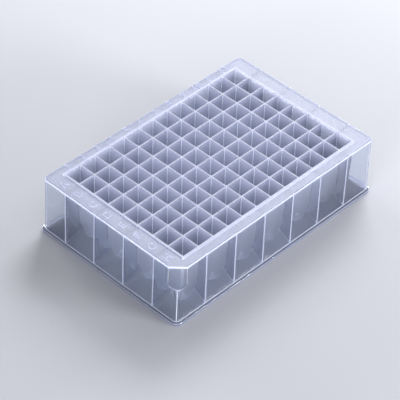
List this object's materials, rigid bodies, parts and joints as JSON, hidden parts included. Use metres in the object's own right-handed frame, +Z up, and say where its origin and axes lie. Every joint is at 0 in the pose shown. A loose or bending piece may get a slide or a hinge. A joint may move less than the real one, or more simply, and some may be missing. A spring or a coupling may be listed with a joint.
{
  "type": "deep-well plate",
  "caption": "Translucent moulded laboratory plate with a grid of deep square wells with round bottoms, an open-based skirt, a base flange and one cut corner.",
  "frame": {"origin": "centre of the footprint, on the surface that the plate stands on", "axes": "+X along the plate's length, from column 1 towards column 12; +Y across it, from row H towards row A; +Z up, towards the mouths of the wells"},
  "size_m": [0.1278, 0.0854, 0.0312],
  "materials": {
    "natural_polypropylene": "natural, undyed polypropylene: milky and translucent, satin on the skirt and wells, finely textured on the deck"
  },
  "bodies": {
    "root": {"well_plate": "natural_polypropylene"}
  },
  "joints": []
}
